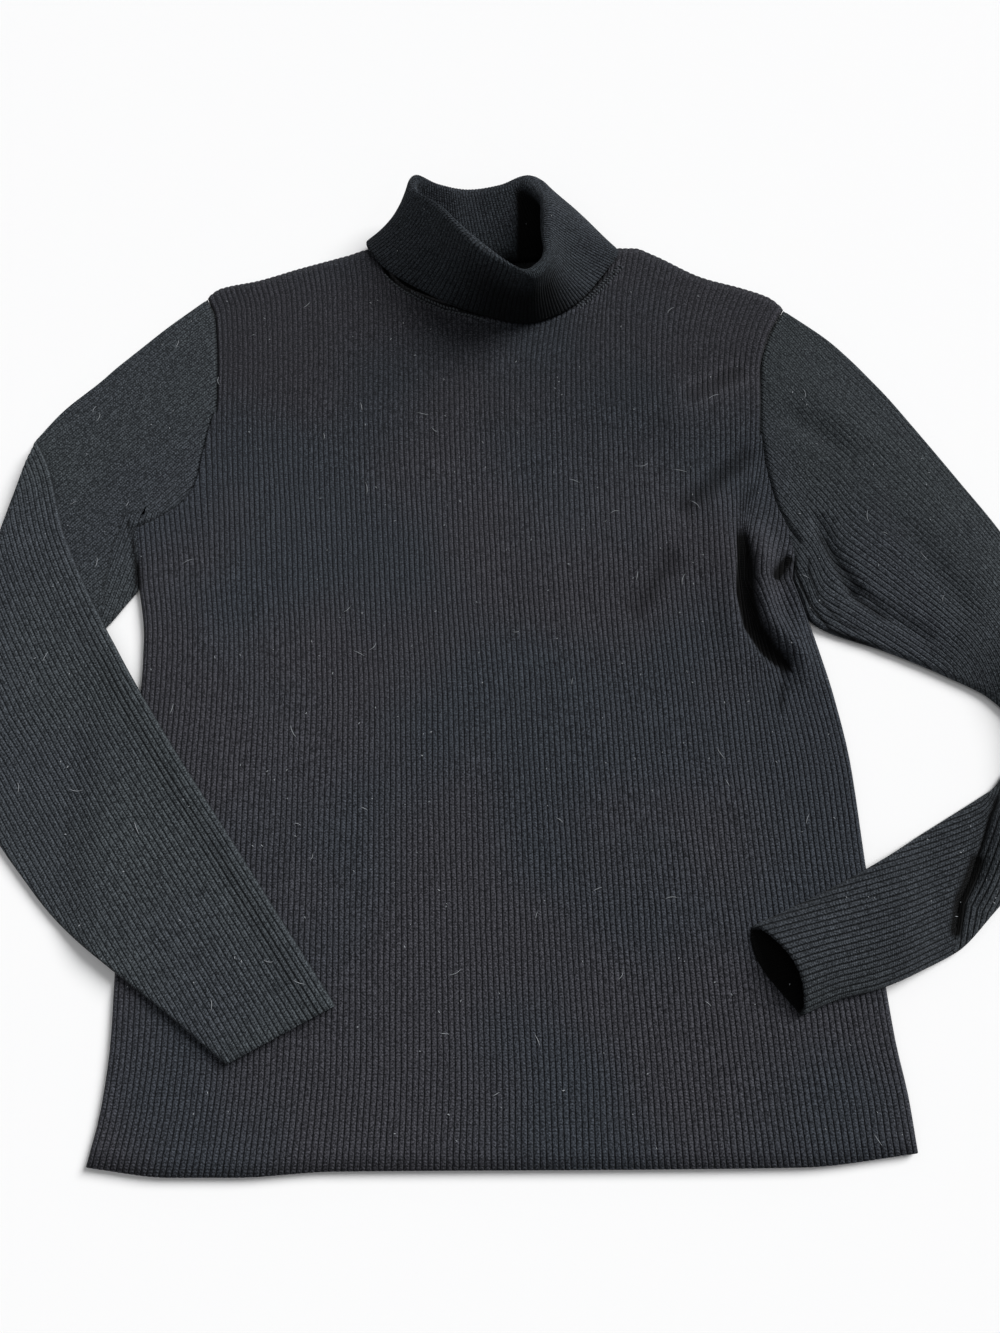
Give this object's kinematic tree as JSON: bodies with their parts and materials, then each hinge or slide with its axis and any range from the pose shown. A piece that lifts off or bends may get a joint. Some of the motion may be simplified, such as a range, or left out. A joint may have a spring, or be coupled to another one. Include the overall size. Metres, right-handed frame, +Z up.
{
  "type": "turtleneck sweater",
  "caption": "Fine rib knit pullover with a folded roll neck and long sleeves, laid flat on its back with its arms bent.",
  "frame": {"origin": "on the surface that the sweater lies on, under the middle of the whole garment", "axes": "+Z up from the surface, out of the front; +Y towards the collar; +X towards the garment's left side, on the right of the picture"},
  "size_m": [0.6978, 0.6294, 0.0514],
  "materials": {
    "body_knit": "matt black fine rib knit",
    "sleeve_knit": "matt black fine rib knit",
    "collar_knit": "matt black fine rib knit"
  },
  "bodies": {
    "root": {"back": "body_knit", "front": "body_knit", "sleeve_left": "sleeve_knit", "sleeve_right": "sleeve_knit", "collar": "collar_knit"}
  },
  "joints": []
}
